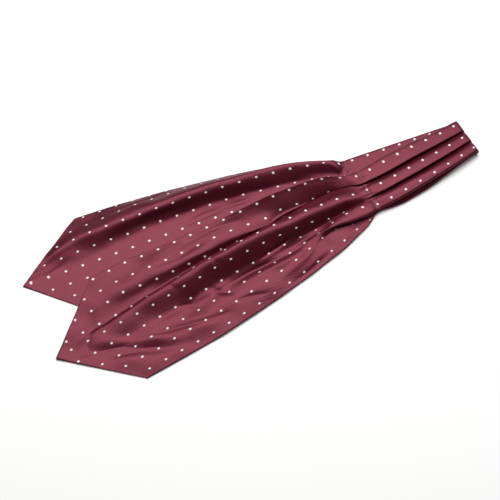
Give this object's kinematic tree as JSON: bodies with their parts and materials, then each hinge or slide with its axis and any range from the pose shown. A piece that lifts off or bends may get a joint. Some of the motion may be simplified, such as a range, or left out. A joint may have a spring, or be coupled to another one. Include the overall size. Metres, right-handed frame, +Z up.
{
  "type": "pleated day cravat",
  "caption": "Dotted silk cravat with a pleated neckband and two pointed blades, folded in half and laid flat, one blade partly on the other.",
  "frame": {"origin": "on the surface it lies on, under the middle of its box", "axes": "+X along the cravat from the points of the blades to the fold at the middle of the neckband, +Y across it, +Z up from the surface"},
  "size_m": [0.6176, 0.2474, 0.0195],
  "materials": {
    "front_silk": "silk twill with a soft sheen and small off-white dots",
    "back_silk": "silk twill with a soft sheen and small off-white dots"
  },
  "bodies": {
    "root": {"front_blade": "front_silk", "back_blade": "back_silk", "front_neckband": "front_silk", "back_neckband": "back_silk", "neck_fold": "front_silk"}
  },
  "joints": []
}
